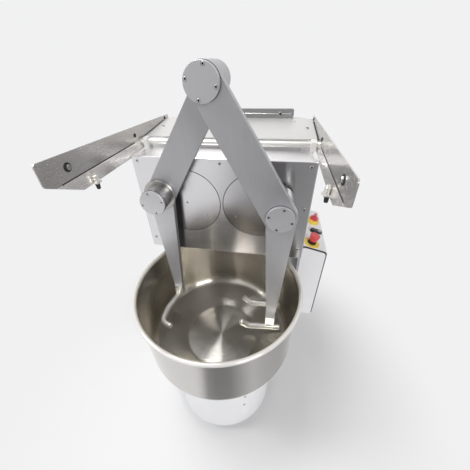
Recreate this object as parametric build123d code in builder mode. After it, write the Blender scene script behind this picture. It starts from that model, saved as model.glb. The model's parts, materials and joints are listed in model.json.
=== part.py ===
from build123d import *
import os
from math import acos, cos, hypot, pi, radians, sin, sqrt, tan

os.makedirs("parts", exist_ok=True)

# Driving dimensions in millimetres and degrees
# The bowl turns about Z, the floor is z = 0 and the machine faces -Y

# Fits and clearances
shaft_fit = 0.05  # radial, shaft in its bearing
seat_fit = 0.05  # radial, piece in its seat
push_fit = 0.3  # radial, push button in its well
run_gap = 1.5  # between faces that turn past each other
moulded_draft = 5.0

# Base
base_nose_radius = 230.0
base_width = 570.0
base_corner = 30.0
base_bottom_z = 40.0
base_top_z = 405.0
base_wall = 4.0
base_edge = 9.0
base_lip = 30.0
plinth_inset = 15.0
plinth_floor = 6.0

# Column and rear cover
column_bowl_gap = 23.0  # behind the bowl rim
column_depth = 290.0
column_corner = 40.0
rear_cover_sheet = 2.0
rear_cover_margin = 10.0
louvre_length = 150.0
louvre_height = 9.0
louvre_gap = 60.0
louvre_pitch = 40.0
louvre_rows = 6

# Head
head_width = 600.0
head_height = 374.0
head_rise = 43.0  # above the bowl rim
head_front_y = 125.0
cover_sheet = 3.0
cover_lip = 30.0
cover_top_lip = 150.0
cover_corner = 6.0
casing_wall = 4.0
casing_corner = 10.0

# Cranks and gears
spacing_to_width = 5 / 12  # crank spacing for a head width
spacing_to_height = 0.66845  # crank spacing for a head height
gear_teeth = 50
pinion_teeth = 17
pinion_at_tooth = 17
gear_width = 40.0
gear_setback = 25.0  # behind the front wall of the gearbox
gear_headroom = 7.0
pressure_angle = 20.0
tooth_play = 0.4
crank_throw = 88.0
right_crank_angle = 32.0
left_crank_angle = 35.5
disc_web = 12.0  # between the two discs
disc_gap = 2.4
disc_thickness = 12.0
crank_shaft_radius = 30.0
crank_flange_radius = 60.0
crank_flange_thickness = 14.0
crank_bearing_radius = 50.0
crank_bearing_width = 20.0
pin_radius = 20.0

# Gearbox and its motor
gearbox_setback = 40.0  # behind the head front
gearbox_depth = 125.0
gearbox_side_gap = 8.0
gearbox_headroom = 6.0
gearbox_wall = 11.0
gearbox_face = 25.0
gearbox_corner = 30.0
pinion_shaft_radius = 14.0
worm_box_depth = 90.0
worm_box_radius = 58.0
worm_offset = 60.0
arm_motor_radius = 68.0
arm_motor_length = 230.0
arm_motor_cowl = 45.0
motor_column_gap = 38.0
motor_fins = 12
fin_thickness = 5.0
fin_root_radius = 30.0

# Arms
arm_thickness = 20.0
plate_head_gap = 27.0  # left plate to head front
plate_spacing = 94.0
arm_length = 382.0  # from elbow to top pivot
top_eye_radius = 40.5
elbow_eye_radius = 49.0
blade_root = 89.0
blade_shift = 2.7
blade_end = 34.0
blade_end_x = 203.0
arm_edge = 1.2
hub_radius = 41.5
hub_disc_gap = 17.0
left_hub_length = 58.0
left_flange_radius = 53.5
left_flange_thickness = 11.0
elbow_bearing_radius = 31.0
elbow_bearing_width = 18.0
elbow_cap_thickness = 9.0
elbow_cap_radius = 41.3
top_cap_radius = 39.7
top_cap_thickness = 17.0
axle_radius = 18.0
axle_play = 9.0
rear_cap_thickness = 8.0
cap_edge = 2.0
cap_chamfer = 0.8
cap_screw_circle = 33.6
cap_screw_radius = 4.5
cap_screw_depth = 3.0
cap_screw_angle = 77.0
cap_screw_taper = 12.0

# Mixing tools
tool_block_width = 36.0
tool_block_height = 57.0
tine_radius = 11.5
tine_rise = 138.0  # above the bowl floor
tine_lead = 6.0  # in front of the right arm plate
tine_spacing = 103.0
tine_toe = 5.5
tine_root_x = 241.0
tine_run = 123.0
tine_tip_run = 30.0
tine_tip_rise = 24.0
tine_bend_radius = 30.0
block_overhang = 8.0
hook_side_x = 228.0
hook_nose_y = -72.0
hook_tip_x = 183.0
hook_tip_y = -88.0
hook_bend_radius = 32.0

# Bowl and its drive
bowl_lift = 30.0  # above the base
bowl_depth = 332.0
bowl_rim_radius = 307.0
rim_bead_radius = 7.0
bowl_wall = 3.0
bowl_floor_radius = 150.0
bowl_foot_radius = 290.0
bowl_foot_rise = 45.0
bowl_foot_bend = 50.0
bowl_floor_bend = 40.0
bowl_flange_radius = 110.0
bowl_flange_thickness = 15.0
spindle_radius = 25.0
spindle_tail = 10.0
barrel_radius = 62.0
barrel_length = 130.0
barrel_flange_radius = 105.0
barrel_flange_thickness = 9.0
bowl_bearing_radius = 45.0
bowl_bearing_width = 22.0
bowl_pulley_radius = 130.0
motor_pulley_radius = 40.0
pulley_width = 30.0
pulley_drop = 205.0  # below the base top
belt_width = 14.0
belt_thickness = 8.0
belt_gap = 0.5
bowl_motor_y = 420.0
bowl_motor_radius = 78.0
bowl_motor_length = 143.0
bowl_motor_flange_radius = 100.0
bowl_motor_flange = 10.0
motor_shaft_radius = 12.0

# Guard, with heights above the head and reaches from the shaft
guard_shaft_radius = 10.0
guard_shaft_setback = 112.0  # behind the head front
guard_shaft_rise = 18.0
guard_side_gap = 1.0
guard_tuck = 5.0
guard_sheet = 3.0
guard_fold_rise = 27.0
guard_low_drop = 9.0
guard_front_reach = 448.0
guard_front_top_rise = 92.0
guard_front_low_rise = 40.0
guard_knee_reach = 350.0
guard_rear_reach = 257.0
guard_rear_top_rise = 62.0
guard_edge_radius = 8.0
guard_shelf = 42.0
shelf_front = 38.0
shelf_rear = 7.0
panel_gap = 2.0
panel_rise = 27.0
panel_side_gap = 4.0
panel_length = 243.0
panel_thickness = 4.0
panel_tilt = 5.0
panel_corner = 55.0
strip_length = 458.0
strip_height = 34.0
strip_depth = 10.0
strip_groove = 2.0
strip_corner = 7.0
hinge_block_width = 16.0
hinge_block_depth = 32.0
hinge_block_inset = 3.0
hinge_block_wall = 5.0
bumper_radius = 6.5
bumper_length = 18.0
bumper_reach = 304.0
bumper_inset = 4.0
lug_width = 20.0
lug_reach = 12.0

# Control cabinet and its devices, with u across the top panel and v to the rear
cabinet_width = 106.0
cabinet_depth = 305.0
cabinet_setback = 50.0  # behind the head front
cabinet_lift = 25.0  # above the base
cabinet_rise = 2.0  # outer top edge above the head bottom
cabinet_tilt = 13.9
cabinet_wall = 3.0
cabinet_edge = 8.0
door_thickness = 6.0
door_margin = 5.5
door_corner = 12.0
gasket_thickness = 3.0
gasket_show = 5.0
gasket_width = 15.0
legend_thickness = 1.5
estop_u = 47.5
estop_v = 33.5
estop_disc_radius = 32.0
estop_collar_radius = 17.0
estop_collar_height = 8.0
estop_stem_radius = 8.0
estop_neck_radius = 15.5
estop_flare = 11.0
estop_head_height = 25.0
estop_edge = 3.0
estop_lift = 5.5
switch_u = 68.0
switch_v = 203.0
switch_plate_radius = 28.0
switch_collar_radius = 24.0
switch_collar_height = 12.0
knob_radius = 18.0
knob_height = 9.0
knob_grip_height = 15.0
knob_grip_width = 12.0
button_u = 74.0
button_v = 123.0
bezel_length = 52.0
bezel_width = 24.0
bezel_height = 9.0
button_radius = 8.8
button_spacing = 26.0
button_proud = 3.0
button_travel = 3.0

# Heights from the floor up
bowl_floor_z = base_top_z + bowl_lift
bowl_bottom_z = bowl_floor_z - bowl_wall
bowl_rim_z = bowl_floor_z + bowl_depth
tine_z = bowl_floor_z + tine_rise
blade_end_z = tine_z + tool_block_height
head_bottom_z = bowl_rim_z + head_rise
head_top_z = head_bottom_z + head_height
head_mid_z = head_bottom_z + head_height / 2
casing_floor_z = head_bottom_z + cover_sheet + casing_wall
pulley_z = base_top_z - pulley_drop
spindle_bottom_z = pulley_z - spindle_tail
bowl_motor_top_z = base_top_z - base_wall
bowl_motor_bottom_z = bowl_motor_top_z - bowl_motor_length

# Depths from the front to the rear
column_front_y = bowl_rim_radius + column_bowl_gap
rear_y = column_front_y + column_depth
gearbox_front_y = head_front_y + gearbox_setback
gearbox_rear_y = gearbox_front_y + gearbox_depth
gearbox_cover_y = gearbox_rear_y + gearbox_face
gear_y = gearbox_front_y + gearbox_face + gear_setback
motor_y = column_front_y + base_wall + motor_column_gap + arm_motor_radius
worm_box_y = motor_y - worm_box_depth / 2
left_back_y = head_front_y - plate_head_gap
left_plate_y = left_back_y - arm_thickness
left_hub_front_y = left_plate_y - left_hub_length
right_plate_y = left_plate_y - plate_spacing
right_back_y = right_plate_y + arm_thickness

# Head casing, gears and cranks, as large as the head holds
casing_width = head_width - 2 * cover_sheet
casing_height = head_height - 2 * cover_sheet
gearbox_width = casing_width - 2 * (casing_wall + gearbox_side_gap)
gearbox_top_z = head_top_z - cover_sheet - casing_wall - gearbox_headroom
gearbox_height = gearbox_top_z - casing_floor_z
crank_spacing = min(head_width * spacing_to_width, head_height * spacing_to_height)
gear_module = crank_spacing / gear_teeth
crank_x = crank_spacing / 2
crank_z = gearbox_top_z - gearbox_wall - gear_headroom - crank_x - gear_module
disc_radius = crank_x - disc_web / 2
right_elbow = (
    crank_x + crank_throw * cos(radians(right_crank_angle)),
    crank_z + crank_throw * sin(radians(right_crank_angle)),
)
left_elbow = (
    -crank_x - crank_throw * cos(radians(left_crank_angle)),
    crank_z + crank_throw * sin(radians(left_crank_angle)),
)
elbows = {"right": right_elbow, "left": left_elbow}
elbow_run = right_elbow[0] - left_elbow[0]
elbow_fall = left_elbow[1] - right_elbow[1]
elbow_span = hypot(elbow_run, elbow_fall)
arm_rise = sqrt(arm_length**2 - (elbow_span / 2) ** 2)
pivot = (
    (right_elbow[0] + left_elbow[0]) / 2 + arm_rise * elbow_fall / elbow_span,
    (right_elbow[1] + left_elbow[1]) / 2 + arm_rise * elbow_run / elbow_span,
)
pinion_turn = 180 + pinion_at_tooth * 360 / gear_teeth
mesh_distance = gear_module * (gear_teeth + pinion_teeth) / 2
pinion_x = crank_x + mesh_distance * cos(radians(pinion_turn))
pinion_z = crank_z + mesh_distance * sin(radians(pinion_turn))

# Places of the guard
guard_shaft_y = head_front_y + guard_shaft_setback
guard_shaft_z = head_top_z + guard_shaft_rise
guard_outer_x = head_width / 2 + guard_side_gap + guard_tuck + guard_sheet
guard_inner_x = guard_outer_x - guard_sheet
guard_low_z = head_top_z - guard_low_drop
guard_fold_z = head_top_z + guard_fold_rise
guard_front_y = guard_shaft_y - guard_front_reach
guard_rear_y = guard_shaft_y + guard_rear_reach
hinge_block_outer_x = head_width / 2 - hinge_block_inset
panel_half_width = guard_inner_x - panel_side_gap
panel_front_y = guard_shaft_y + hinge_block_depth / 2 + panel_gap
panel_front_z = head_top_z + panel_rise
lid_plane = Plane(
    origin=(0, panel_front_y, panel_front_z),
    x_dir=(1, 0, 0),
    z_dir=(0, -sin(radians(panel_tilt)), cos(radians(panel_tilt))),
)

# Places of the control cabinet, beside the wider one of head and column
cabinet_inner_x = max(casing_width, base_width) / 2
cabinet_outer_x = cabinet_inner_x + cabinet_width
cabinet_front_y = head_front_y + cabinet_setback
cabinet_rear_y = cabinet_front_y + cabinet_depth
cabinet_bottom_z = base_top_z + cabinet_lift
cabinet_top_fall = tan(radians(cabinet_tilt))
cabinet_inner_top_z = head_bottom_z + cabinet_rise + cabinet_width * cabinet_top_fall
top_panel = Plane(
    origin=(cabinet_inner_x, cabinet_front_y, cabinet_inner_top_z),
    x_dir=(cos(radians(cabinet_tilt)), 0, -sin(radians(cabinet_tilt))),
    z_dir=(sin(radians(cabinet_tilt)), 0, cos(radians(cabinet_tilt))),
)
sides = (("right", 1), ("left", -1))


def keep(piece, name):
    piece.part.label = name
    export_step(piece.part, f"parts/{name}.step")


def facing(y):
    # Upright plane at depth y, whose extrusions run to the front
    return Plane.XZ.offset(-y)


def base_outline(inset):
    nose = base_nose_radius - inset
    half = base_width / 2 - inset
    back = rear_y - inset
    with BuildSketch() as outline:
        with BuildLine():
            ThreePointArc((-nose, 0), (0, -nose), (nose, 0))
            Polyline(
                (nose, 0),
                (half, column_front_y),
                (half, back),
                (-half, back),
                (-half, column_front_y),
                (-nose, 0),
            )
        make_face()
        fillet(outline.vertices().group_by(Axis.Y)[-1], max(base_corner - inset, 2))
    return outline.sketch


def column_outline(inset, back):
    with BuildSketch() as outline:
        with Locations((0, (column_front_y + inset + back) / 2)):
            Rectangle(base_width - 2 * inset, back - column_front_y - inset)
        fillet(outline.vertices().group_by(Axis.Y)[0], column_corner - inset)
    return outline.sketch


def gear_outline(teeth, turn):
    # Straight-sided teeth through the root, pitch and tip points of an involute
    pitch_radius = gear_module * teeth / 2
    base_radius = pitch_radius * cos(radians(pressure_angle))
    radii = (pitch_radius - 1.25 * gear_module, pitch_radius, pitch_radius + gear_module)
    half_pitch = pi / (2 * teeth) - tooth_play / (4 * pitch_radius)
    involute = tan(radians(pressure_angle)) - radians(pressure_angle)
    halves = []
    for radius in radii:
        angle = acos(min(base_radius / radius, 1))
        halves.append(half_pitch + involute - tan(angle) + angle)
    points = []
    for tooth in range(teeth):
        middle = radians(turn) + 2 * pi * tooth / teeth
        for radius, half in zip(radii, halves):
            points.append((radius * cos(middle - half), radius * sin(middle - half)))
        for radius, half in zip(reversed(radii), reversed(halves)):
            points.append((radius * cos(middle + half), radius * sin(middle + half)))
    with BuildSketch() as outline:
        with BuildLine():
            Polyline(*points, close=True)
        make_face()
    return outline.sketch


def arm_outline(elbow, side, top_bore):
    root_x = side * elbow[0] + blade_shift
    with BuildSketch() as outline:
        with BuildLine():
            CenterArc(pivot, top_eye_radius, 0, 360)
            CenterArc(elbow, elbow_eye_radius, 0, 360)
        make_hull()
        with BuildLine():
            Polyline(
                (side * (root_x - blade_root / 2), elbow[1]),
                (side * (root_x + blade_root / 2), elbow[1]),
                (side * (blade_end_x + blade_end / 2), blade_end_z),
                (side * (blade_end_x - blade_end / 2), blade_end_z),
                close=True,
            )
        make_face()
        with Locations(pivot):
            Circle(top_bore, mode=Mode.SUBTRACT)
        with Locations(elbow):
            Circle(elbow_bearing_radius, mode=Mode.SUBTRACT)
    return outline.sketch


# Plinth
with BuildPart() as base_plinth:
    with BuildSketch():
        add(base_outline(plinth_inset))
    extrude(amount=base_bottom_z)
    with BuildSketch(Plane.XY.offset(plinth_floor)):
        add(base_outline(plinth_inset + base_wall))
    extrude(amount=base_bottom_z, mode=Mode.SUBTRACT)
keep(base_plinth, "base_plinth")

# Base housing under the bowl
with BuildPart() as base_housing:
    with BuildSketch(Plane.XY.offset(base_bottom_z)):
        add(base_outline(0))
    extrude(amount=base_top_z - base_bottom_z)
    fillet(base_housing.edges().group_by(Axis.Z)[-1], base_edge)
    with BuildSketch(Plane.XY.offset(base_bottom_z + base_wall)):
        add(base_outline(base_wall))
    extrude(amount=base_top_z - base_bottom_z - 2 * base_wall, mode=Mode.SUBTRACT)
    with BuildSketch(Plane.XY.offset(base_bottom_z)):
        add(base_outline(base_lip))
    extrude(amount=base_wall, mode=Mode.SUBTRACT)
    with BuildSketch(Plane.XY.offset(base_top_z)):
        Circle(barrel_radius + seat_fit)
    extrude(amount=-base_wall, mode=Mode.SUBTRACT)
keep(base_housing, "base_housing")

# Column between base and head
with BuildPart() as column_housing:
    with BuildSketch(Plane.XY.offset(base_top_z)):
        add(column_outline(0, rear_y))
        add(column_outline(base_wall, rear_y), mode=Mode.SUBTRACT)
    extrude(amount=head_bottom_z + cover_sheet - base_top_z)
keep(column_housing, "column_housing")

# Head casing, open to the front, the rear and the column
with BuildPart() as head_casing:
    with BuildSketch(facing(rear_y)):
        with Locations((0, head_mid_z)):
            RectangleRounded(casing_width, casing_height, casing_corner)
            RectangleRounded(
                casing_width - 2 * casing_wall,
                casing_height - 2 * casing_wall,
                casing_corner - casing_wall,
                mode=Mode.SUBTRACT,
            )
    extrude(amount=rear_y - head_front_y - cover_sheet)
    with BuildSketch(Plane.XY.offset(head_bottom_z)):
        add(column_outline(base_lip, rear_y))
    extrude(amount=casing_floor_z - head_bottom_z, mode=Mode.SUBTRACT)
keep(head_casing, "head_casing")

# Rear cover with louvres, over head and column
rear_cover_bottom = base_top_z + rear_cover_margin
rear_cover_top = head_top_z - cover_sheet - rear_cover_margin
with BuildPart() as rear_cover:
    with BuildSketch(facing(rear_y + rear_cover_sheet)):
        with Locations((0, (rear_cover_bottom + rear_cover_top) / 2)):
            RectangleRounded(
                base_width - 2 * rear_cover_margin,
                rear_cover_top - rear_cover_bottom,
                casing_corner,
            )
        for louvre_z in ((rear_cover_bottom + head_bottom_z) / 2, head_mid_z):
            with Locations((0, louvre_z)):
                with GridLocations(louvre_length + louvre_gap, louvre_pitch, 2, louvre_rows):
                    Rectangle(louvre_length, louvre_height, mode=Mode.SUBTRACT)
    extrude(amount=rear_cover_sheet)
keep(rear_cover, "rear_cover")

# Stainless front cover, a folded tray with a long top lip
with BuildPart() as front_cover:
    with BuildSketch(facing(head_front_y + cover_lip)):
        with Locations((0, head_mid_z)):
            RectangleRounded(head_width, head_height, cover_corner)
    extrude(amount=cover_lip)
    fillet(front_cover.edges().group_by(Axis.Y)[0], cover_sheet)
    with BuildSketch(facing(head_front_y + cover_lip)):
        with Locations((0, head_mid_z)):
            RectangleRounded(casing_width, casing_height, cover_corner - cover_sheet)
    extrude(amount=cover_lip - cover_sheet, mode=Mode.SUBTRACT)
    with BuildSketch(facing(head_front_y + cover_top_lip)):
        with Locations((0, head_top_z - cover_sheet / 2)):
            Rectangle(casing_width - 2 * casing_corner, cover_sheet)
    extrude(amount=cover_top_lip - cover_sheet)
    with BuildSketch(facing(head_front_y + cover_sheet)):
        with Locations((-crank_x, crank_z), (crank_x, crank_z)):
            Circle(disc_radius + disc_gap)
    extrude(amount=cover_sheet, mode=Mode.SUBTRACT)
keep(front_cover, "front_cover")

# Gearbox housing, open to the rear
gearbox_z = casing_floor_z + gearbox_height / 2
crank_places = ((-crank_x, crank_z), (crank_x, crank_z))
with BuildPart() as gearbox_housing:
    with BuildSketch(facing(gearbox_rear_y)):
        with Locations((0, gearbox_z)):
            RectangleRounded(gearbox_width, gearbox_height, gearbox_corner)
    extrude(amount=gearbox_rear_y - gearbox_front_y)
    with BuildSketch(facing(gearbox_rear_y)):
        with Locations((0, gearbox_z)):
            RectangleRounded(
                gearbox_width - 2 * gearbox_wall,
                gearbox_height - 2 * gearbox_wall,
                gearbox_corner - gearbox_wall,
            )
    extrude(amount=gearbox_rear_y - gearbox_front_y - gearbox_face, mode=Mode.SUBTRACT)
    with BuildSketch(facing(gearbox_front_y + gearbox_face)):
        with Locations(*crank_places):
            Circle(crank_bearing_radius)
    extrude(amount=gearbox_face, mode=Mode.SUBTRACT)
    with BuildSketch(facing(gearbox_front_y + gearbox_face)):
        with Locations((pinion_x, pinion_z)):
            Circle(pinion_shaft_radius + shaft_fit)
    extrude(amount=gearbox_face - gearbox_wall, mode=Mode.SUBTRACT)
keep(gearbox_housing, "gearbox_housing")

# Gearbox cover with the rear bearing seats
with BuildPart() as gearbox_cover:
    with BuildSketch(facing(gearbox_cover_y)):
        with Locations((0, gearbox_z)):
            RectangleRounded(gearbox_width, gearbox_height, gearbox_corner)
        with Locations(*crank_places):
            Circle(crank_bearing_radius, mode=Mode.SUBTRACT)
        with Locations((pinion_x, pinion_z)):
            Circle(pinion_shaft_radius + shaft_fit, mode=Mode.SUBTRACT)
    extrude(amount=gearbox_face)
keep(gearbox_cover, "gearbox_cover")

# Four crank bearings
with BuildPart() as crank_bearings:
    for wall_y in (gearbox_front_y, gearbox_rear_y):
        with BuildSketch(facing(wall_y + (gearbox_face + crank_bearing_width) / 2)):
            with Locations(*crank_places):
                Circle(crank_bearing_radius - seat_fit)
                Circle(crank_shaft_radius + shaft_fit, mode=Mode.SUBTRACT)
        extrude(amount=crank_bearing_width)
keep(crank_bearings, "crank_bearings")

# Worm gear motor that drives the pinion
motor_x = pinion_x - worm_offset
motor_top_z = pinion_z - worm_box_radius
with BuildPart() as arm_gearmotor:
    with BuildSketch(facing(worm_box_y + worm_box_depth)):
        with BuildLine():
            CenterArc((pinion_x, pinion_z), worm_box_radius, 0, 360)
            CenterArc((motor_x, pinion_z), worm_box_radius, 0, 360)
        make_hull()
    extrude(amount=worm_box_depth)
    with BuildSketch(facing(worm_box_y)):
        with Locations((pinion_x, pinion_z)):
            Circle(worm_box_radius - gearbox_wall)
    extrude(amount=worm_box_y - gearbox_cover_y)
    with BuildSketch(Plane.XY.offset(pinion_z)):
        with Locations((motor_x, motor_y)):
            Circle(arm_motor_radius - gearbox_wall)
    extrude(amount=-worm_box_radius - arm_motor_length)
    with BuildSketch(Plane.XY.offset(motor_top_z)):
        with Locations((motor_x, motor_y)):
            with PolarLocations((arm_motor_radius + fin_root_radius) / 2, motor_fins):
                Rectangle(arm_motor_radius - fin_root_radius, fin_thickness)
    extrude(amount=-arm_motor_length)
    with BuildSketch(Plane.XY.offset(motor_top_z - arm_motor_length)):
        with Locations((motor_x, motor_y)):
            Circle(arm_motor_radius)
    extrude(amount=-arm_motor_cowl, taper=moulded_draft)
    with BuildSketch(facing(worm_box_y + worm_box_depth)):
        with Locations((pinion_x, pinion_z)):
            Circle(pinion_shaft_radius + shaft_fit)
    extrude(amount=worm_box_y + worm_box_depth - gearbox_cover_y, mode=Mode.SUBTRACT)
keep(arm_gearmotor, "arm_gearmotor")

# Drive pinion on its shaft
pinion_tooth_turn = pinion_turn + 180 + 180 / pinion_teeth
with BuildPart() as drive_pinion:
    with BuildSketch(facing(worm_box_y + worm_box_depth)):
        with Locations((pinion_x, pinion_z)):
            Circle(pinion_shaft_radius)
    extrude(amount=worm_box_y + worm_box_depth - gearbox_front_y - gearbox_wall - run_gap)
    with BuildSketch(facing(gear_y + gear_width)):
        with Locations((pinion_x, pinion_z)):
            add(gear_outline(pinion_teeth, pinion_tooth_turn))
    extrude(amount=gear_width)
keep(drive_pinion, "drive_pinion")

# Crank discs, shafts, gears and pins, one set for each arm
disc_back_y = head_front_y + disc_thickness
shaft_end_y = gearbox_cover_y + run_gap
pin_ends = {"right": right_plate_y + run_gap, "left": left_hub_front_y + run_gap}
gear_turns = {"right": 180, "left": 180 / gear_teeth}
for name, side in sides:
    with BuildPart() as crank_disc:
        with BuildSketch(facing(disc_back_y)):
            with Locations((side * crank_x, crank_z)):
                Circle(disc_radius)
            with Locations(elbows[name]):
                Circle(pin_radius + seat_fit, mode=Mode.SUBTRACT)
        extrude(amount=disc_thickness)
    keep(crank_disc, f"{name}_crank_disc")

    with BuildPart() as crank_shaft:
        with BuildSketch(facing(disc_back_y + crank_flange_thickness)):
            with Locations((side * crank_x, crank_z)):
                Circle(crank_flange_radius)
        extrude(amount=crank_flange_thickness)
        with BuildSketch(facing(shaft_end_y)):
            with Locations((side * crank_x, crank_z)):
                Circle(crank_shaft_radius)
        extrude(amount=shaft_end_y - disc_back_y)
    keep(crank_shaft, f"{name}_crank_shaft")

    with BuildPart() as crank_gear:
        with BuildSketch(facing(gear_y + gear_width)):
            with Locations((side * crank_x, crank_z)):
                add(gear_outline(gear_teeth, gear_turns[name]))
                Circle(crank_shaft_radius + seat_fit, mode=Mode.SUBTRACT)
        extrude(amount=gear_width)
    keep(crank_gear, f"{name}_crank_gear")

    with BuildPart() as crank_pin:
        with BuildSketch(facing(disc_back_y)):
            with Locations(elbows[name]):
                Circle(pin_radius)
        extrude(amount=disc_back_y - pin_ends[name])
        chamfer(crank_pin.edges().group_by(Axis.Y)[0], arm_edge)
    keep(crank_pin, f"{name}_crank_pin")

# Arm plates, one boomerang in front and its mirror image behind
plate_backs = {"right": right_back_y, "left": left_back_y}
top_bores = {"right": axle_radius + seat_fit, "left": axle_radius + axle_play}
for name, side in sides:
    with BuildPart() as arm_plate:
        with BuildSketch(facing(plate_backs[name])):
            add(arm_outline(elbows[name], side, top_bores[name]))
        extrude(amount=arm_thickness)
        chamfer(arm_plate.edges().group_by(Axis.Y)[0], arm_edge)
    keep(arm_plate, f"{name}_arm_plate")

# Elbow hubs, behind the right plate and in front of the left plate
right_hub_back_y = head_front_y - hub_disc_gap
with BuildPart() as right_elbow_hub:
    with BuildSketch(facing(right_hub_back_y)):
        with Locations(right_elbow):
            Circle(hub_radius)
            Circle(elbow_bearing_radius, mode=Mode.SUBTRACT)
    extrude(amount=right_hub_back_y - right_back_y)
    chamfer(right_elbow_hub.edges().group_by(Axis.Y)[-1], cap_edge)
keep(right_elbow_hub, "right_elbow_hub")

with BuildPart() as left_elbow_hub:
    with BuildSketch(facing(left_plate_y)):
        with Locations(left_elbow):
            Circle(left_flange_radius)
    extrude(amount=left_flange_thickness)
    chamfer(left_elbow_hub.edges().group_by(Axis.Y)[0], cap_edge)
    with BuildSketch(facing(left_plate_y)):
        with Locations(left_elbow):
            Circle(hub_radius)
    extrude(amount=left_plate_y - left_hub_front_y)
    with BuildSketch(facing(left_plate_y)):
        with Locations(left_elbow):
            Circle(elbow_bearing_radius)
    extrude(amount=left_plate_y - left_hub_front_y, mode=Mode.SUBTRACT)
keep(left_elbow_hub, "left_elbow_hub")

# Two bearings in each elbow, one near each end of its bore
bore_fronts = {"right": right_plate_y, "left": left_hub_front_y}
bore_backs = {"right": right_hub_back_y, "left": left_back_y}
for name, side in sides:
    with BuildPart() as elbow_bearings:
        front_bearing_y = bore_fronts[name] + elbow_bearing_width + cap_edge
        for bearing_y in (front_bearing_y, bore_backs[name] - cap_edge):
            with BuildSketch(facing(bearing_y)):
                with Locations(elbows[name]):
                    Circle(elbow_bearing_radius - seat_fit)
                    Circle(pin_radius + shaft_fit, mode=Mode.SUBTRACT)
            extrude(amount=elbow_bearing_width)
    keep(elbow_bearings, f"{name}_elbow_bearings")

# Round caps with four screws each
right_screws = cap_screw_angle
left_screws = 180 - cap_screw_angle
caps = (
    ("right_elbow_cap", right_elbow, right_screws, right_plate_y, elbow_cap_radius, elbow_cap_thickness),
    ("left_elbow_cap", left_elbow, left_screws, left_hub_front_y, elbow_cap_radius, elbow_cap_thickness),
    ("top_cap", pivot, right_screws, right_plate_y, top_cap_radius, top_cap_thickness),
)
for cap_name, cap_place, screw_turn, cap_back, cap_radius, cap_thickness in caps:
    with BuildPart() as cap:
        with BuildSketch(facing(cap_back)):
            with Locations(cap_place):
                Circle(cap_radius)
        extrude(amount=cap_thickness)
        chamfer(cap.edges().group_by(Axis.Y)[0], cap_chamfer)
        with BuildSketch(facing(cap_back - cap_thickness + cap_screw_depth)):
            with Locations(cap_place):
                with PolarLocations(cap_screw_circle, 4, screw_turn):
                    Circle(cap_screw_radius + push_fit)
        extrude(amount=cap_screw_depth, mode=Mode.SUBTRACT)
    keep(cap, cap_name)

for screw_name, screw_caps in (("right_cap_screws", (caps[0], caps[2])), ("left_cap_screws", (caps[1],))):
    with BuildPart() as cap_screws:
        for _, cap_place, screw_turn, cap_back, cap_radius, cap_thickness in screw_caps:
            with BuildSketch(facing(cap_back - cap_thickness + cap_screw_depth)):
                with Locations(cap_place):
                    with PolarLocations(cap_screw_circle, 4, screw_turn):
                        Circle(cap_screw_radius)
            extrude(amount=cap_screw_depth + arm_edge, taper=cap_screw_taper)
    keep(cap_screws, screw_name)

# Top axle with its spacer between the arm plates, and the rear cap behind it
with BuildPart() as top_axle:
    with BuildSketch(facing(left_back_y - run_gap)):
        with Locations(pivot):
            Circle(axle_radius)
    extrude(amount=left_back_y - run_gap - right_plate_y)
    with BuildSketch(facing(left_plate_y - run_gap)):
        with Locations(pivot):
            Circle(top_eye_radius)
    extrude(amount=left_plate_y - run_gap - right_back_y)
keep(top_axle, "top_axle")

with BuildPart() as top_rear_cap:
    with BuildSketch(facing(left_back_y + rear_cap_thickness)):
        with Locations(pivot):
            Circle(top_cap_radius)
    extrude(amount=rear_cap_thickness)
    chamfer(top_rear_cap.edges().group_by(Axis.Y)[-1], cap_edge)
keep(top_rear_cap, "top_rear_cap")

# Two-tine fork on the right arm, its front tine toed out to the front
block_bottom_z = tine_z + tine_radius / 2
tine_front_y = right_plate_y - tine_lead
tine_rear_y = tine_front_y + tine_spacing
with BuildPart() as right_fork:
    with BuildSketch(Plane.XY.offset(block_bottom_z)):
        with Locations((blade_end_x, (tine_front_y + tine_rear_y) / 2)):
            RectangleRounded(tool_block_width, tine_spacing + 2 * block_overhang, block_overhang / 2)
    extrude(amount=blade_end_z - block_bottom_z)
    for tine_y, toe in ((tine_front_y, radians(tine_toe)), (tine_rear_y, 0)):
        tine_plane = Plane(
            origin=(tine_root_x, tine_y, tine_z),
            x_dir=(-cos(toe), -sin(toe), 0),
            z_dir=(-sin(toe), cos(toe), 0),
        )
        with BuildLine(tine_plane) as tine_path:
            FilletPolyline(
                (0, 0),
                (tine_run, 0),
                (tine_run + tine_tip_run, tine_tip_rise),
                radius=tine_bend_radius,
            )
        with BuildSketch(Plane(origin=tine_path.line @ 0, z_dir=tine_path.line % 0)):
            Circle(tine_radius)
        sweep(path=tine_path.line)
    fillet(right_fork.edges().filter_by(GeomType.CIRCLE).group_by(Axis.X)[-1], tine_radius / 2)
    fillet(right_fork.edges().filter_by(GeomType.CIRCLE).group_by(Axis.X)[0], tine_radius / 2)
keep(right_fork, "right_fork")

# Single hook on the left arm
hook_root_y = left_back_y - arm_thickness / 2
with BuildPart() as left_hook:
    with BuildSketch(Plane.XY.offset(block_bottom_z)):
        with Locations((-blade_end_x, hook_root_y)):
            RectangleRounded(tool_block_width, arm_thickness + 2 * block_overhang, block_overhang / 2)
    extrude(amount=blade_end_z - block_bottom_z)
    with BuildLine(Plane.XY.offset(tine_z)) as hook_path:
        FilletPolyline(
            (-blade_end_x, left_back_y),
            (-hook_side_x, 0),
            (-hook_side_x, hook_nose_y),
            (-hook_tip_x, hook_tip_y),
            radius=(3 * hook_bend_radius, hook_bend_radius),
        )
    with BuildSketch(Plane(origin=hook_path.line @ 0, z_dir=hook_path.line % 0)):
        Circle(tine_radius)
    sweep(path=hook_path.line)
    fillet(left_hook.edges().filter_by(GeomType.CIRCLE).group_by(Axis.Y)[0], tine_radius / 2)
keep(left_hook, "left_hook")

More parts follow.
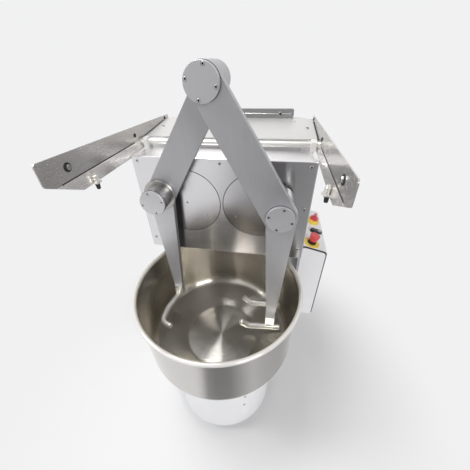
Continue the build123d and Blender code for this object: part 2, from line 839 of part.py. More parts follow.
# Spun bowl with a rolled rim
rim_middle = bowl_rim_radius - rim_bead_radius
with BuildPart() as bowl_shell:
    with BuildSketch(Plane.XZ):
        with BuildLine():
            FilletPolyline(
                (0, bowl_floor_z),
                (bowl_floor_radius, bowl_floor_z),
                (bowl_foot_radius, bowl_floor_z + bowl_foot_rise),
                (rim_middle - rim_bead_radius, bowl_rim_z - rim_bead_radius),
                radius=(bowl_floor_bend, bowl_foot_bend),
            )
            offset(amount=bowl_wall, side=Side.RIGHT)
        make_face()
        with Locations((rim_middle, bowl_rim_z - rim_bead_radius)):
            Circle(rim_bead_radius)
    revolve(axis=Axis.Z)
keep(bowl_shell, "bowl_shell")

# Flanged bowl spindle and the pulleys
with BuildPart() as bowl_spindle:
    with BuildSketch(Plane.XY.offset(bowl_bottom_z)):
        Circle(bowl_flange_radius)
    extrude(amount=-bowl_flange_thickness)
    chamfer(bowl_spindle.edges().group_by(Axis.Z)[0], bowl_wall)
    with BuildSketch(Plane.XY.offset(spindle_bottom_z)):
        Circle(spindle_radius)
    extrude(amount=bowl_bottom_z - spindle_bottom_z)
keep(bowl_spindle, "bowl_spindle")


def pulley_profile(radius, bore):
    # Half section of a pulley with a groove for the flat belt
    with BuildSketch() as profile:
        with Locations(((bore + radius) / 2, pulley_z + pulley_width / 2)):
            Rectangle(radius - bore, pulley_width)
        with Locations((radius, pulley_z + pulley_width / 2)):
            Rectangle(2 * belt_thickness, belt_width + 2 * belt_gap, mode=Mode.SUBTRACT)
    return profile.sketch


with BuildPart() as bowl_pulley:
    with BuildSketch(Plane.XZ):
        add(pulley_profile(bowl_pulley_radius, spindle_radius + seat_fit))
    revolve(axis=Axis.Z)
keep(bowl_pulley, "bowl_pulley")

motor_axis = Axis((0, bowl_motor_y, 0), (0, 0, 1))
with BuildPart() as motor_pulley:
    with BuildSketch(facing(bowl_motor_y)):
        add(pulley_profile(motor_pulley_radius, 0))
    revolve(axis=motor_axis)
    with BuildSketch(Plane.XY.offset(pulley_z + pulley_width)):
        with Locations((0, bowl_motor_y)):
            Circle(motor_shaft_radius)
    extrude(amount=bowl_motor_bottom_z - pulley_z)
keep(motor_pulley, "motor_pulley")

# Belt round both pulleys
def belt_loop(height):
    # Outline at a height above the bottoms of the pulley grooves
    with BuildSketch() as loop:
        with BuildLine():
            CenterArc((0, 0), bowl_pulley_radius - belt_thickness + height, 0, 360)
            CenterArc((0, bowl_motor_y), motor_pulley_radius - belt_thickness + height, 0, 360)
        make_hull()
    return loop.sketch


with BuildPart() as bowl_belt:
    with BuildSketch(Plane.XY.offset(pulley_z + (pulley_width - belt_width) / 2)):
        add(belt_loop(belt_gap + belt_thickness))
        add(belt_loop(belt_gap), mode=Mode.SUBTRACT)
    extrude(amount=belt_width)
keep(bowl_belt, "bowl_belt")

# Bearing housing of the bowl, hung in the base top
barrel_bottom_z = base_top_z - barrel_length
with BuildPart() as bowl_bearing_housing:
    with BuildSketch(Plane.XY.offset(base_top_z)):
        Circle(barrel_flange_radius)
    extrude(amount=barrel_flange_thickness)
    chamfer(bowl_bearing_housing.edges().group_by(Axis.Z)[-1], cap_edge)
    with BuildSketch(Plane.XY.offset(base_top_z)):
        Circle(barrel_radius)
    extrude(amount=-barrel_length)
    with BuildSketch(Plane.XY.offset(barrel_bottom_z)):
        Circle(bowl_bearing_radius)
    extrude(amount=barrel_length + barrel_flange_thickness, mode=Mode.SUBTRACT)
keep(bowl_bearing_housing, "bowl_bearing_housing")

with BuildPart() as bowl_bearings:
    for bearing_z in (barrel_bottom_z + cap_edge, base_top_z - bowl_bearing_width - cap_edge):
        with BuildSketch(Plane.XY.offset(bearing_z)):
            Circle(bowl_bearing_radius - seat_fit)
            Circle(spindle_radius + shaft_fit, mode=Mode.SUBTRACT)
        extrude(amount=bowl_bearing_width)
keep(bowl_bearings, "bowl_bearings")

# Bowl motor, flanged to the underside of the base top
with BuildPart() as bowl_motor:
    with BuildSketch(Plane.XY.offset(bowl_motor_top_z)):
        with Locations((0, bowl_motor_y)):
            Circle(bowl_motor_flange_radius)
    extrude(amount=-bowl_motor_flange)
    with BuildSketch(Plane.XY.offset(bowl_motor_top_z - bowl_motor_flange)):
        with Locations((0, bowl_motor_y)):
            Circle(bowl_motor_radius - gearbox_wall)
            with PolarLocations((bowl_motor_radius + fin_root_radius) / 2, motor_fins):
                Rectangle(bowl_motor_radius - fin_root_radius, fin_thickness)
    extrude(amount=bowl_motor_bottom_z - bowl_motor_top_z + bowl_motor_flange)
    with BuildSketch(Plane.XY.offset(bowl_motor_bottom_z)):
        with Locations((0, bowl_motor_y)):
            Circle(motor_shaft_radius + shaft_fit)
    extrude(amount=pulley_width + run_gap, mode=Mode.SUBTRACT)
keep(bowl_motor, "bowl_motor")

# Nylon blocks that carry the guard shaft
block_top_z = guard_shaft_z + guard_shaft_radius + hinge_block_wall
with BuildPart() as hinge_blocks:
    for name, side in sides:
        with BuildSketch(Plane.YZ.offset(side * hinge_block_outer_x)):
            with Locations((guard_shaft_y, (head_top_z + block_top_z) / 2)):
                Rectangle(hinge_block_depth, block_top_z - head_top_z)
            with Locations((guard_shaft_y, guard_shaft_z)):
                Circle(guard_shaft_radius + shaft_fit, mode=Mode.SUBTRACT)
        extrude(amount=-side * hinge_block_width)
    chamfer(hinge_blocks.edges().filter_by(Axis.X).group_by(Axis.Z)[-1], hinge_block_wall)
keep(hinge_blocks, "hinge_blocks")

# Guard shaft
with BuildPart() as guard_shaft:
    with BuildSketch(Plane.YZ.offset(-guard_outer_x)):
        with Locations((guard_shaft_y, guard_shaft_z)):
            Circle(guard_shaft_radius)
    extrude(amount=2 * guard_outer_x)
keep(guard_shaft, "guard_shaft")

# Folded guard side arms with a shelf for the panel and a lug for the bumper
panel_rise_rate = tan(radians(panel_tilt))
panel_under = guard_sheet + run_gap
step_y = panel_front_y + shelf_front
step_z = panel_front_z + shelf_front * panel_rise_rate - panel_under
rear_low_z = panel_front_z + (guard_rear_y - panel_front_y) * panel_rise_rate - panel_under
guard_front_top_z = head_top_z + guard_front_top_rise
guard_rear_top_z = head_top_z + guard_rear_top_rise
shelf_end = panel_length - shelf_rear
bumper_y = guard_shaft_y - bumper_reach
for name, side in sides:
    with BuildPart() as guard_arm:
        with BuildSketch(facing(guard_rear_y)):
            with BuildLine():
                Polyline(
                    (side * (guard_inner_x - guard_tuck), guard_low_z),
                    (side * guard_inner_x, guard_fold_z),
                    (side * guard_inner_x, guard_front_top_z),
                    (side * guard_outer_x, guard_front_top_z),
                    (side * guard_outer_x, guard_fold_z),
                    (side * (guard_outer_x - guard_tuck), guard_low_z),
                    close=True,
                )
            make_face()
        extrude(amount=guard_rear_y - guard_front_y)
        with BuildSketch(lid_plane):
            with Locations((side * (guard_inner_x - guard_shelf / 2), (shelf_front + shelf_end) / 2)):
                Rectangle(guard_shelf + guard_sheet, shelf_end - shelf_front)
        extrude(amount=-guard_sheet)
        with BuildSketch(Plane.YZ):
            with BuildLine():
                FilletPolyline(
                    (guard_front_y, guard_front_top_z),
                    (guard_front_y, head_top_z + guard_front_low_rise),
                    (guard_shaft_y - guard_knee_reach, guard_low_z),
                    (head_front_y, guard_low_z),
                    (step_y - guard_edge_radius, guard_low_z + guard_edge_radius),
                    (step_y + guard_edge_radius, step_z),
                    (guard_rear_y, rear_low_z),
                    (guard_rear_y, guard_rear_top_z),
                    radius=guard_edge_radius,
                    close=True,
                )
            make_face()
        extrude(amount=side * (guard_outer_x + guard_sheet), mode=Mode.INTERSECT)
        with BuildSketch(Plane.XY.offset(guard_low_z)):
            with Locations((side * (guard_inner_x - guard_tuck - lug_reach / 2), bumper_y)):
                Rectangle(lug_reach + guard_sheet, lug_width)
        extrude(amount=guard_sheet)
        with BuildSketch(Plane.YZ.offset(side * guard_outer_x)):
            with Locations((guard_shaft_y, guard_shaft_z)):
                Circle(guard_shaft_radius + seat_fit)
        extrude(amount=-side * (guard_tuck + guard_sheet), mode=Mode.SUBTRACT)
    keep(guard_arm, f"guard_{name}_arm")

# Guard panel and the clamp strip along its rear edge
with BuildPart() as guard_panel:
    with BuildSketch(lid_plane) as panel_face:
        with Locations((0, panel_length / 2)):
            Rectangle(2 * panel_half_width, panel_length)
        fillet(panel_face.vertices().group_by(Axis.Y)[-1], panel_corner)
    extrude(amount=panel_thickness)
keep(guard_panel, "guard_panel")

strip_plane = Plane(
    origin=lid_plane.from_local_coords((0, panel_length - strip_depth / 2, panel_thickness)),
    x_dir=lid_plane.x_dir,
    z_dir=-lid_plane.y_dir,
)
with BuildPart() as guard_strip:
    with BuildSketch(strip_plane):
        with Locations((0, strip_height / 2)):
            RectangleRounded(strip_length, strip_height, strip_corner)
    extrude(amount=strip_depth)
    with BuildSketch(strip_plane.offset(strip_depth)):
        with Locations((0, strip_height / 2)):
            Rectangle(strip_length, strip_groove)
    extrude(amount=-strip_groove, mode=Mode.SUBTRACT)
keep(guard_strip, "guard_strip")

# Rubber bumpers under the lugs, which meet the front cover when the guard is shut
bumper_x = guard_inner_x - guard_tuck - bumper_inset
with BuildPart() as guard_bumpers:
    with BuildSketch(Plane.XY.offset(guard_low_z)):
        with Locations((bumper_x, bumper_y), (-bumper_x, bumper_y)):
            Circle(bumper_radius)
    extrude(amount=-bumper_length, taper=moulded_draft)
    fillet(guard_bumpers.edges().group_by(Axis.Z)[0], bumper_radius / 4)
keep(guard_bumpers, "guard_bumpers")


def cabinet_outline(inset, corner):
    # Front view of the cabinet, whose top falls to the outer side
    inner = cabinet_inner_x + inset
    outer = cabinet_outer_x - inset
    bottom = cabinet_bottom_z + inset
    top = cabinet_inner_top_z - inset / cos(radians(cabinet_tilt))
    with BuildSketch() as outline:
        with BuildLine():
            Polyline(
                (inner, bottom),
                (outer, bottom),
                (outer, top - (outer - cabinet_inner_x) * cabinet_top_fall),
                (inner, top - inset * cabinet_top_fall),
                close=True,
            )
        make_face()
        fillet(outline.vertices(), corner)
    return outline.sketch


# Control cabinet, open to the front
with BuildPart() as control_cabinet:
    with BuildSketch(facing(cabinet_rear_y)):
        add(cabinet_outline(0, cabinet_edge))
    extrude(amount=cabinet_depth)
    with BuildSketch(facing(cabinet_rear_y - cabinet_wall)):
        add(cabinet_outline(cabinet_wall, cabinet_edge - cabinet_wall))
    extrude(amount=cabinet_depth - cabinet_wall, mode=Mode.SUBTRACT)
keep(control_cabinet, "control_cabinet")

# Cabinet door on its dark gasket
with BuildPart() as door_gasket:
    with BuildSketch(facing(cabinet_front_y)):
        add(cabinet_outline(door_margin - gasket_show, door_corner + gasket_show))
        add(cabinet_outline(gasket_width, door_corner), mode=Mode.SUBTRACT)
    extrude(amount=gasket_thickness)
keep(door_gasket, "door_gasket")

with BuildPart() as cabinet_door:
    with BuildSketch(facing(cabinet_front_y - gasket_thickness)):
        add(cabinet_outline(door_margin, door_corner))
    extrude(amount=door_thickness)
    fillet(cabinet_door.edges().group_by(Axis.Y)[0], door_thickness / 3)
keep(cabinet_door, "cabinet_door")

# Emergency stop on its yellow disc
with BuildPart() as estop_disc:
    with BuildSketch(top_panel):
        with Locations((estop_u, estop_v)):
            Circle(estop_disc_radius)
    extrude(amount=legend_thickness)
keep(estop_disc, "estop_disc")

with BuildPart() as estop_collar:
    with BuildSketch(top_panel.offset(legend_thickness)):
        with Locations((estop_u, estop_v)):
            Circle(estop_collar_radius)
    extrude(amount=estop_collar_height)
    with BuildSketch(top_panel.offset(2 * legend_thickness)):
        with Locations((estop_u, estop_v)):
            Circle(estop_stem_radius + push_fit)
    extrude(amount=estop_collar_height, mode=Mode.SUBTRACT)
keep(estop_collar, "estop_collar")

estop_head_h = legend_thickness + estop_collar_height + estop_lift
with BuildPart() as estop_button:
    with BuildSketch(top_panel.offset(2 * legend_thickness + estop_lift)):
        with Locations((estop_u, estop_v)):
            Circle(estop_stem_radius)
    extrude(amount=estop_head_h - 2 * legend_thickness - estop_lift)
    with BuildSketch(top_panel.offset(estop_head_h)):
        with Locations((estop_u, estop_v)):
            Circle(estop_neck_radius)
    extrude(amount=estop_head_height, taper=-estop_flare)
    fillet(estop_button.faces().sort_by(Axis(top_panel.origin, top_panel.z_dir))[-1].edges(), estop_edge)
keep(estop_button, "estop_button")

# Main switch on its yellow collar
with BuildPart() as switch_plate:
    with BuildSketch(top_panel):
        with Locations((switch_u, switch_v)):
            Circle(switch_plate_radius)
    extrude(amount=legend_thickness)
    with BuildSketch(top_panel.offset(legend_thickness)):
        with Locations((switch_u, switch_v)):
            Circle(switch_collar_radius)
    extrude(amount=switch_collar_height, taper=moulded_draft)
keep(switch_plate, "switch_plate")

knob_h = legend_thickness + switch_collar_height + push_fit
with BuildPart() as main_switch_knob:
    with BuildSketch(top_panel.offset(knob_h)):
        with Locations((switch_u, switch_v)):
            Circle(knob_radius)
    extrude(amount=knob_height, taper=moulded_draft)
    with BuildSketch(top_panel.offset(knob_h + knob_height)):
        with Locations((switch_u, switch_v)):
            SlotOverall(2 * knob_radius - knob_height / 2, knob_grip_width, rotation=90)
    extrude(amount=knob_grip_height, taper=moulded_draft)
keep(main_switch_knob, "main_switch_knob")

# Double push button in one bezel
button_places = ((button_u - button_spacing / 2, button_v), (button_u + button_spacing / 2, button_v))
with BuildPart() as button_bezel:
    with BuildSketch(top_panel):
        with Locations((button_u, button_v)):
            SlotOverall(bezel_length, bezel_width)
    extrude(amount=bezel_height, taper=moulded_draft)
    with BuildSketch(top_panel.offset(legend_thickness)):
        with Locations(*button_places):
            Circle(button_radius + push_fit)
    extrude(amount=bezel_height, mode=Mode.SUBTRACT)
keep(button_bezel, "button_bezel")

for button_name, place in zip(("start_button", "stop_button"), button_places):
    with BuildPart() as button:
        with BuildSketch(top_panel.offset(2 * legend_thickness + button_travel)):
            with Locations(place):
                Circle(button_radius)
        extrude(amount=bezel_height + button_proud - 2 * legend_thickness - button_travel)
    keep(button, button_name)
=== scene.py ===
"""Looks of the twin-arm dough mixer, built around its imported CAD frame."""

import json
import math

import bmesh
import bpy
from mathutils import Matrix, Vector


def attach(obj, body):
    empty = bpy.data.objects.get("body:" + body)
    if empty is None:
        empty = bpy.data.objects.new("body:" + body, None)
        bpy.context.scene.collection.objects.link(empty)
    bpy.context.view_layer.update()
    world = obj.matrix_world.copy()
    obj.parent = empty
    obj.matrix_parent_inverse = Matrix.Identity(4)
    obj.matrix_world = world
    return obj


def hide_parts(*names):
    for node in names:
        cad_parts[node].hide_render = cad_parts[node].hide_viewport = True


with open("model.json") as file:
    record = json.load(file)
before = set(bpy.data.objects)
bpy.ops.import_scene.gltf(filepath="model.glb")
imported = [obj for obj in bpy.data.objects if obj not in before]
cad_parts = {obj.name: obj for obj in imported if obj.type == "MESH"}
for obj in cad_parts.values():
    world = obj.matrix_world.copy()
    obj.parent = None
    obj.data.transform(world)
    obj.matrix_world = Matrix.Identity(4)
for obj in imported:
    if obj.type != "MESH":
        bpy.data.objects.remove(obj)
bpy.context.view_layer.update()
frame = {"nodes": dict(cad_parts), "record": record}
nodes = frame["nodes"]
scene = bpy.context.scene
scene.view_settings.view_transform = "Standard"

MM = 0.001
FRONT = (0, -1, 0)
UP = (0, 0, 1)

# Camera, fitted to the photo: millimetres, degrees and pixels of a 470 square
PHOTO_SIZE = 470
FOCAL_PIXELS = 244.03
PRINCIPAL_POINT = (230, 234)
CAMERA_PLACE = (171.2, -608.0, 1440.9)
CAMERA_YAW = 11.156
CAMERA_PITCH = 35.996
CAMERA_ROLL = -1.781
SENSOR = 36

# Places in the CAD frame, in millimetres and degrees
CRANK_X, CRANK_Z = 125.0, 1023.0
ELBOWS = {"right": (199.63, 1069.63), "left": (-196.64, 1074.10)}
PIVOT = (5.18, 1398.44)
COVER_Y = 125.0
NOSE_RADIUS = 230.0
GUARD_INNER_X = 306.0
LUG_X, LUG_Y, LUG_TOP_Z = 295.0, -67.0, 1178.0
PANEL_Y, PANEL_Z, PANEL_TILT = 255.0, 1211.0, 5.0
PANEL_THICKNESS = 4.0
STRIP_FRONT = 228.0
STRIP_MIDDLE = 21.0


# Meshes

SHARP_ANGLE = 35
MERGE_DISTANCE = 1e-7
STEEP = 0.9
ROUND_STEPS = 48
RING_STEPS = 120

# Proportions of screw and bolt heads
SCREW_EDGE = 0.16
SOCKET_DEPTH, SOCKET_TAPER = 0.7, 0.97
NARROW_SOCKET, WIDE_SOCKET = 0.95, 1.4
WASHER_RADIUS, WASHER_HEIGHT = 0.85, 0.12
BOLT_CHAMFER_HEIGHT, BOLT_CHAMFER_RADIUS = 0.85, 0.46


def mesh_piece(name, bm):
    """Object from a bmesh, shaded smooth with sharp edges above an angle."""
    bmesh.ops.remove_doubles(bm, verts=bm.verts, dist=MERGE_DISTANCE)
    bmesh.ops.recalc_face_normals(bm, faces=bm.faces)
    limit = math.radians(SHARP_ANGLE)
    for edge in bm.edges:
        edge.smooth = len(edge.link_faces) == 2 and edge.calc_face_angle(0) < limit
    for face in bm.faces:
        face.smooth = True
    mesh = bpy.data.meshes.new(name)
    bm.to_mesh(mesh)
    bm.free()
    piece = bpy.data.objects.new(name, mesh)
    scene.collection.objects.link(piece)
    return piece


def loft(bm, rings):
    """Quads between rings of points, with both ends closed; returns the last band and end."""
    rows = [[bm.verts.new(point) for point in ring] for ring in rings]
    count = len(rows[0])
    bm.faces.new(rows[0][::-1])
    for low, high in zip(rows, rows[1:]):
        band = []
        for i in range(count):
            j = (i + 1) % count
            band.append(bm.faces.new((low[i], low[j], high[j], high[i])))
    return band + [bm.faces.new(rows[-1])]


def hexagon(flats):
    """Distance to the side of a hexagon at an angle, from its width across flats."""
    third = math.pi / 3
    return lambda angle: flats / 2 / math.cos((angle + third / 2) % third - third / 2)


def spokes(direction, steps):
    """Unit vector along a direction, and the angles and unit vectors round it."""
    axis = Vector(direction).normalized()
    helper = Vector(UP) if abs(axis.z) < STEEP else Vector((1, 0, 0))
    u = helper.cross(axis).normalized()
    v = axis.cross(u)
    angles = [2 * math.pi * i / steps for i in range(steps)]
    return axis, [(a, u * math.cos(a) + v * math.sin(a)) for a in angles]


def add_round(bm, place, direction, profile):
    """Closed solid of rings along a direction, from (radius or hexagon, height) rows."""
    axis, around = spokes(direction, ROUND_STEPS)
    rings = []
    for size, height in profile:
        ring = []
        for angle, out in around:
            reach = size(angle) if callable(size) else size
            ring.append((Vector(place) + out * reach + axis * height) * MM)
        rings.append(ring)
    return loft(bm, rings)


def add_ring(bm, place, direction, profile):
    """Ring turned from a closed (radius, height) profile in millimetres."""
    axis, around = spokes(direction, RING_STEPS)
    rows = []
    for _, out in around:
        points = [(Vector(place) + out * r + axis * h) * MM for r, h in profile]
        rows.append([bm.verts.new(point) for point in points])
    count = len(profile)
    for row, after in zip(rows, rows[1:] + rows[:1]):
        for i in range(count):
            j = (i + 1) % count
            bm.faces.new((row[i], row[j], after[j], after[i]))


def add_bar(bm, start, end, across, up):
    """Straight bar between two places, with its half width and half height as vectors."""
    signs = ((-1, -1), (1, -1), (1, 1), (-1, 1))
    corners = [Vector(across) * a + Vector(up) * b for a, b in signs]
    loft(bm, [[(Vector(place) + corner) * MM for corner in corners] for place in (start, end)])


def add_socket_screw(bm, place, direction, radius, height, socket=NARROW_SOCKET):
    """Round screw head with a hexagon socket, as wide as a share of the radius; the socket is
    coloured black, painted shade in the recess.
    """
    edge = radius * SCREW_EDGE
    flats = radius * socket
    depth = min(height, radius) * SOCKET_DEPTH
    profile = (
        (radius, 0),
        (radius, height - edge),
        (radius - edge, height),
        (hexagon(flats), height),
        (hexagon(flats * SOCKET_TAPER), height - depth),
    )
    # Socket faces take the second, black slot: painted shade in the recess
    for face in add_round(bm, place, direction, profile):
        face.material_index = 1


def add_hex_bolt(bm, place, direction, flats, height):
    """Hexagon bolt head with a chamfered top, on a washer coloured black as painted shade round
    the head.
    """
    washer = flats * WASHER_HEIGHT
    rim = flats * WASHER_RADIUS
    # Washer faces take the second, black slot: painted shade round the bolt head
    for face in add_round(bm, place, direction, ((rim, 0), (rim, washer))):
        face.material_index = 1
    profile = (
        (hexagon(flats), washer),
        (hexagon(flats), height * BOLT_CHAMFER_HEIGHT),
        (flats * BOLT_CHAMFER_RADIUS, height),
    )
    add_round(bm, place, direction, profile)


# Materials

NOISE_LOW, NOISE_HIGH = 0.3, 0.7
NOISE_ROUGHNESS = 0.6
SMOOTHEST = 0.02
INWARD_STEP = 0.04
UPWARD = (0.2, 0.7)
EVERY_WAY = (1, 1, 1)
WHITE = (1, 1, 1, 1)


def add_node(tree, kind, **settings):
    """New node in a tree, with its settings."""
    made = tree.nodes.new(kind)
    for key, value in settings.items():
        setattr(made, key, value)
    return made


class Finish:
    """A node material with a Principled shader, built up one effect at a time."""

    def __init__(self, name, colour, roughness, metallic=0.0):
        self.material = bpy.data.materials.new(name)
        self.material.use_nodes = True
        self.tree = self.material.node_tree
        self.shader = self.tree.nodes["Principled BSDF"]
        self.shader.inputs["Base Color"].default_value = (*colour, 1)
        self.shader.inputs["Roughness"].default_value = roughness
        self.shader.inputs["Metallic"].default_value = metallic
        self.colour = colour
        self.roughness = roughness

    def set(self, **values):
        """Constants on the shader's own sockets."""
        for key, value in values.items():
            self.shader.inputs[key.replace("_", " ")].default_value = value
        return self

    def node(self, kind, **settings):
        return add_node(self.tree, kind, **settings)

    def link(self, source, target):
        self.tree.links.new(source, target)

    def place(self, scale):
        """Object coordinates stretched by a scale."""
        coords = self.node("ShaderNodeTexCoord")
        mapping = self.node("ShaderNodeMapping")
        mapping.inputs["Scale"].default_value = scale
        self.link(coords.outputs["Object"], mapping.inputs["Vector"])
        return mapping.outputs["Vector"]

    def round_place(self, across, around):
        """Coordinates that run round the Z axis: across the turns and along them."""
        coords = self.node("ShaderNodeTexCoord")
        parts = self.node("ShaderNodeSeparateXYZ")
        self.link(coords.outputs["Object"], parts.inputs["Vector"])
        flat = self.node("ShaderNodeCombineXYZ")
        self.link(parts.outputs["X"], flat.inputs["X"])
        self.link(parts.outputs["Y"], flat.inputs["Y"])
        radius = self.node("ShaderNodeVectorMath", operation="LENGTH")
        self.link(flat.outputs["Vector"], radius.inputs[0])
        ring = self.node("ShaderNodeVectorMath", operation="NORMALIZE")
        self.link(flat.outputs["Vector"], ring.inputs[0])
        turned = self.node("ShaderNodeVectorMath", operation="SCALE")
        turned.inputs["Scale"].default_value = around
        self.link(ring.outputs["Vector"], turned.inputs[0])
        level = self.node("ShaderNodeMath", operation="ADD")
        self.link(radius.outputs["Value"], level.inputs[0])
        self.link(parts.outputs["Z"], level.inputs[1])
        rise = self.node("ShaderNodeMath", operation="MULTIPLY")
        self.link(level.outputs["Value"], rise.inputs[0])
        rise.inputs[1].default_value = across
        lift = self.node("ShaderNodeCombineXYZ")
        self.link(rise.outputs["Value"], lift.inputs["Z"])
        total = self.node("ShaderNodeVectorMath", operation="ADD")
        self.link(turned.outputs["Vector"], total.inputs[0])
        self.link(lift.outputs["Vector"], total.inputs[1])
        return total.outputs["Vector"]

    def noise(self, vector, scale=1.0, detail=4.0):
        """Value of a noise over coordinates."""
        texture = self.node("ShaderNodeTexNoise")
        texture.inputs["Scale"].default_value = scale
        texture.inputs["Detail"].default_value = detail
        texture.inputs["Roughness"].default_value = NOISE_ROUGHNESS
        self.link(vector, texture.inputs["Vector"])
        return texture.outputs["Fac"]

    def blend(self, first, second, share):
        """Mean of two values, with a share of the second."""
        mixed = self.node("ShaderNodeMix", data_type="FLOAT")
        mixed.inputs["Factor"].default_value = share
        self.link(first, mixed.inputs["A"])
        self.link(second, mixed.inputs["B"])
        return mixed.outputs["Result"]

    def step(self, value, low, high):
        """Smooth step between two (value, result) pairs."""
        span = self.node("ShaderNodeMapRange", interpolation_type="SMOOTHSTEP")
        span.inputs["From Min"].default_value, span.inputs["To Min"].default_value = low
        span.inputs["From Max"].default_value, span.inputs["To Max"].default_value = high
        self.link(value, span.inputs["Value"])
        return span.outputs["Result"]

    def by_place(self, axis, low, high):
        """Value by place along an axis: (metres, value) before and after."""
        coords = self.node("ShaderNodeTexCoord")
        parts = self.node("ShaderNodeSeparateXYZ")
        self.link(coords.outputs["Object"], parts.inputs["Vector"])
        return self.step(parts.outputs[axis], low, high)

    def by_height(self, low, high):
        """Value by height: (height in metres, value) below and above."""
        return self.by_place("Z", low, high)

    def tint(self, value, spread):
        """Base colour that varies with a value, darker and lighter by a spread."""
        ramp = self.node("ShaderNodeValToRGB")
        low, high = ramp.color_ramp.elements
        low.position, high.position = NOISE_LOW, NOISE_HIGH
        low.color = (*[c * (1 - spread) for c in self.colour], 1)
        high.color = (*[min(c * (1 + spread), 1) for c in self.colour], 1)
        self.link(value, ramp.inputs["Fac"])
        self.link(ramp.outputs["Color"], self.shader.inputs["Base Color"])
        return self

    def scale_base(self, factor):
        """Base colour scaled by a value."""
        base = self.shader.inputs["Base Color"]
        scaled = self.node("ShaderNodeVectorMath", operation="SCALE")
        self.link(base.links[0].from_socket, scaled.inputs[0])
        self.link(factor, scaled.inputs["Scale"])
        self.link(scaled.outputs["Vector"], base)
        return self

    def beside(self, low, high):
        """Base colour scaled from left to right: (metres, factor) before and after."""
        return self.scale_base(self.by_place("X", low, high))

    def shade(self, low, high):
        """Painted light and shade by height: base colour scaled, (height in metres, factor) below
        and above.
        """
        return self.scale_base(self.by_height(low, high))

    def painted_light_by_facing(self, axis, low, high, below=None):
        """Painted light and shade: base colour scaled by how far a face looks along an axis of the
        object.

        Low and high are (share, factor) pairs, and the effect fades out over the heights below.
        """
        coords = self.node("ShaderNodeTexCoord")
        parts = self.node("ShaderNodeSeparateXYZ")
        self.link(coords.outputs["Normal"], parts.inputs["Vector"])
        factor = self.step(parts.outputs[axis], low, high)
        if below:
            faded = self.node("ShaderNodeMix", data_type="FLOAT")
            share = self.by_height((below[0], 0.0), (below[1], 1.0))
            self.link(share, faded.inputs["Factor"])
            self.link(factor, faded.inputs["A"])
            faded.inputs["B"].default_value = 1.0
            factor = faded.outputs["Result"]
        return self.scale_base(factor)

    def painted_top_light(self, factor):
        """Painted light: base colour scaled on the faces that look up."""
        start, end = UPWARD
        return self.painted_light_by_facing("Z", (start, 1.0), (end, factor))

    def painted_inside_shade(self, tint):
        """Painted shade inside a bowl: base colour tinted on the faces that look at the Z axis."""
        coords = self.node("ShaderNodeTexCoord")
        flat = self.node("ShaderNodeVectorMath", operation="MULTIPLY")
        flat.inputs[1].default_value = (1, 1, 0)
        self.link(coords.outputs["Object"], flat.inputs[0])
        facing = self.node("ShaderNodeVectorMath", operation="DOT_PRODUCT")
        self.link(flat.outputs["Vector"], facing.inputs[0])
        self.link(coords.outputs["Normal"], facing.inputs[1])
        mixed = self.node("ShaderNodeMix", data_type="RGBA")
        mixed.inputs["A"].default_value = (*tint, 1)
        mixed.inputs["B"].default_value = WHITE
        outward = self.step(facing.outputs["Value"], (-INWARD_STEP, 0.0), (INWARD_STEP, 1.0))
        self.link(outward, mixed.inputs["Factor"])
        base = self.shader.inputs["Base Color"]
        tinted = self.node("ShaderNodeVectorMath", operation="MULTIPLY")
        self.link(base.links[0].from_socket, tinted.inputs[0])
        self.link(mixed.outputs["Result"], tinted.inputs[1])
        self.link(tinted.outputs["Vector"], base)
        return self

    def metal(self, low, high):
        """Share of metal by height: (height in metres, share) below and above."""
        self.link(self.by_height(low, high), self.shader.inputs["Metallic"])
        return self

    def rough(self, value, spread):
        """Roughness that varies with a value."""
        span = self.node("ShaderNodeMapRange")
        span.inputs["From Min"].default_value = NOISE_LOW
        span.inputs["From Max"].default_value = NOISE_HIGH
        span.inputs["To Min"].default_value = max(self.roughness - spread, SMOOTHEST)
        span.inputs["To Max"].default_value = self.roughness + spread
        self.link(value, span.inputs["Value"])
        self.link(span.outputs["Result"], self.shader.inputs["Roughness"])
        return self

    def bump(self, value, strength, distance):
        """Surface relief from a value, distance in millimetres."""
        relief = self.node("ShaderNodeBump")
        relief.inputs["Strength"].default_value = strength
        relief.inputs["Distance"].default_value = distance * MM
        self.link(value, relief.inputs["Height"])
        self.link(relief.outputs["Normal"], self.shader.inputs["Normal"])
        return self

    def stretched(self, axis, amount, turn=0.0):
        """Highlights stretched along the tangent round an axis, as on brushed metal."""
        tangent = self.node("ShaderNodeTangent", direction_type="RADIAL", axis=axis)
        self.link(tangent.outputs["Tangent"], self.shader.inputs["Tangent"])
        return self.set(Anisotropic=amount, Anisotropic_Rotation=turn)


def brushed(name, colour, roughness, grain, spread=0.03, metallic=1.0):
    """Metal with fine brush lines and faint smudges: grain is lines per metre along each axis."""
    finish = Finish(name, colour, roughness, metallic)
    lines = finish.noise(finish.place(grain), detail=3.0)
    smudges = finish.noise(finish.place(EVERY_WAY), scale=14.0, detail=5.0)
    finish.tint(finish.blend(lines, smudges, share=0.4), spread)
    finish.rough(finish.blend(lines, smudges, share=0.5), spread=0.04)
    return finish.bump(lines, strength=0.1, distance=0.01)


def speckled(name, colour, roughness, size, spread=0.04, relief=0.02):
    """Paint, plastic or casting with a fine even relief: size is the grain in millimetres."""
    finish = Finish(name, colour, roughness)
    dots = finish.noise(finish.place(EVERY_WAY), scale=1 / (size * MM), detail=2.0)
    finish.tint(dots, spread)
    finish.rough(dots, spread=0.05)
    return finish.bump(dots, strength=0.2, distance=relief)


def spun(name, colour, roughness, stretch):
    """Metal spun and brushed in circles round the Z axis."""
    finish = Finish(name, colour, roughness, metallic=1.0)
    rings = finish.noise(finish.round_place(across=700, around=0.35), detail=3.0)
    finish.tint(rings, spread=0.07)
    finish.rough(rings, spread=0.05)
    finish.bump(rings, strength=0.05, distance=0.01)
    return finish.stretched("Z", stretch, turn=0.25)


COVER_COLOUR = (0.72, 0.71, 0.73)
RUBBER_COLOUR = (0.018, 0.018, 0.019)
COVER_STRETCH = 0.85
DISC_TURNS = {"right": 0.84, "left": 0.09}
